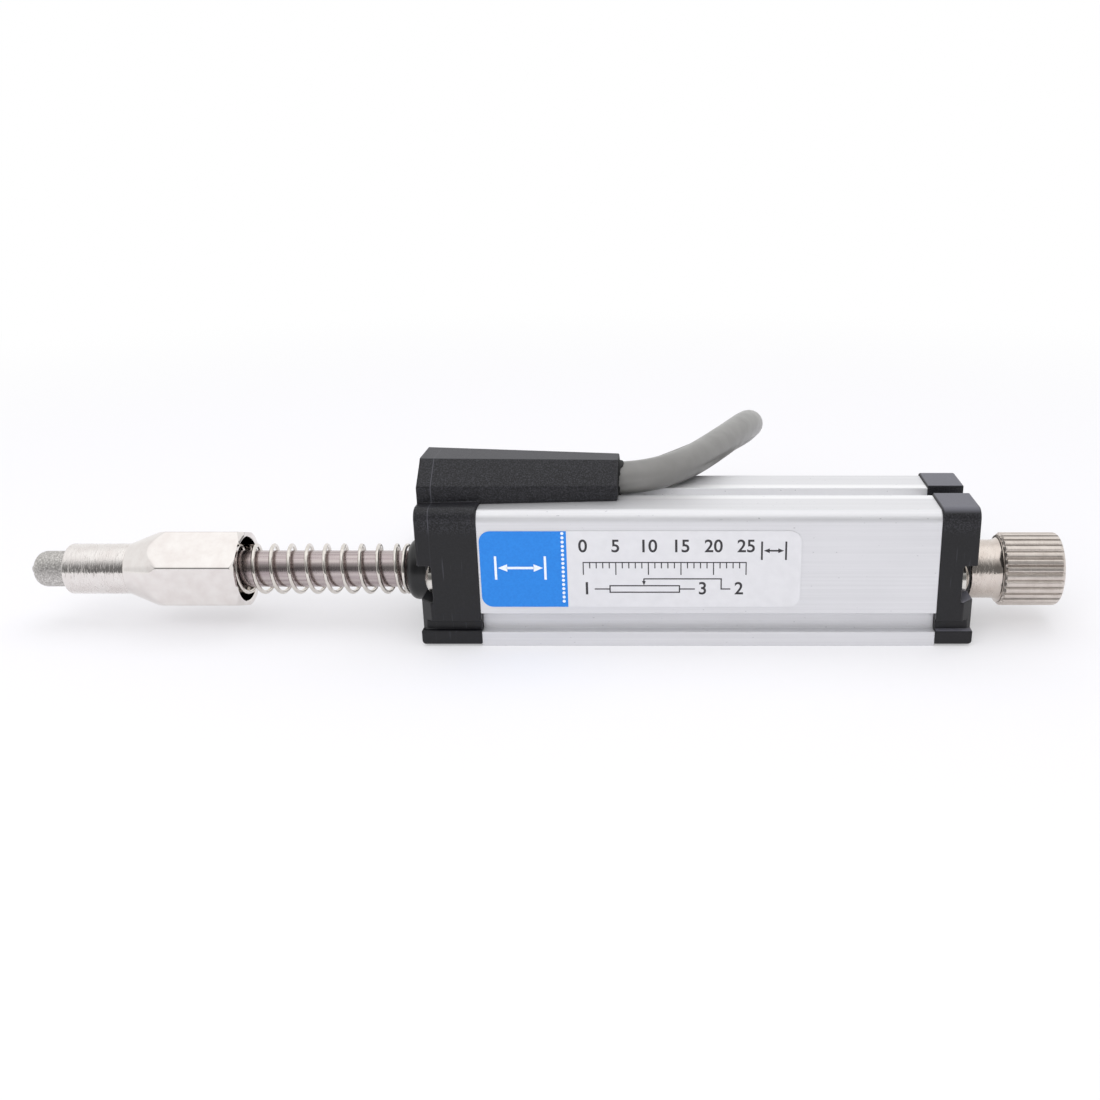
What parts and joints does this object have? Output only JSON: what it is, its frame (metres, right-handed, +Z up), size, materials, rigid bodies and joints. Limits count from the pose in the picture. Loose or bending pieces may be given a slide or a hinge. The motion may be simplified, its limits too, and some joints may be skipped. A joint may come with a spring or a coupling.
{
  "type": "linear displacement sensor",
  "caption": "Spring-return linear displacement sensor: aluminium profile housing, black end caps, through rod with contact tip and knurled knob, cable from a hood on the front cap.",
  "frame": {"origin": "on the ground under the middle of the sensor's length, from the contact tip to the knob's end", "axes": "+X along the rod towards the knob, -Y towards the labelled face, +Z up"},
  "size_m": [0.1404, 0.0693, 0.0239],
  "materials": {
    "profile": "satin anodised",
    "cap_plastic": "fine texture",
    "bush_plastic": "satin",
    "screw_steel": "zinc plated",
    "label_film": "satin film",
    "board_laminate": "laminate",
    "contact_brass": "bright",
    "core_insulation": "smooth",
    "grommet_rubber": "matt",
    "cable_jacket": "smooth",
    "carriage_plastic": "moulded",
    "rod_steel": "ground",
    "plated_metal": "nickel plated",
    "tip_steel": "worn",
    "spring_steel": "bright wire"
  },
  "bodies": {
    "housing": {"housing": "profile", "front_cap": "cap_plastic", "rear_cap": "cap_plastic", "front_bush": "bush_plastic", "rear_bush": "bush_plastic", "front_screws": "screw_steel", "rear_screws": "screw_steel", "label": "label_film", "element_board": "board_laminate", "board_pins": "contact_brass", "lead_wires": "core_insulation", "cord_clamp": "screw_steel", "cable_grommet": "grommet_rubber", "cable": "cable_jacket", "cable_hank": "cable_jacket", "hank_tie": "grommet_rubber", "cable_cores": "core_insulation", "spring": "spring_steel"},
    "carriage": {"wiper_carriage": "carriage_plastic", "wiper_contacts": "contact_brass"},
    "rod": {"carriage_clips": "screw_steel", "rod": "rod_steel", "probe_nut": "plated_metal", "contact_tip": "tip_steel", "stop_collar": "plated_metal", "knob": "plated_metal"}
  },
  "joints": [
    {"name": "rod_slide", "type": "slide", "parent": "housing", "child": "carriage", "axis": [1, 0, 0], "range_m": [0, 0.025], "stiffness_N_per_m": 120, "springref_m": -0.0167, "deforming": ["spring"]},
    {"name": "rod_turn", "type": "hinge", "parent": "carriage", "child": "rod", "pos_m": [0.0099, 0, 0.0075], "axis": [1, 0, 0], "continuous": true}
  ]
}
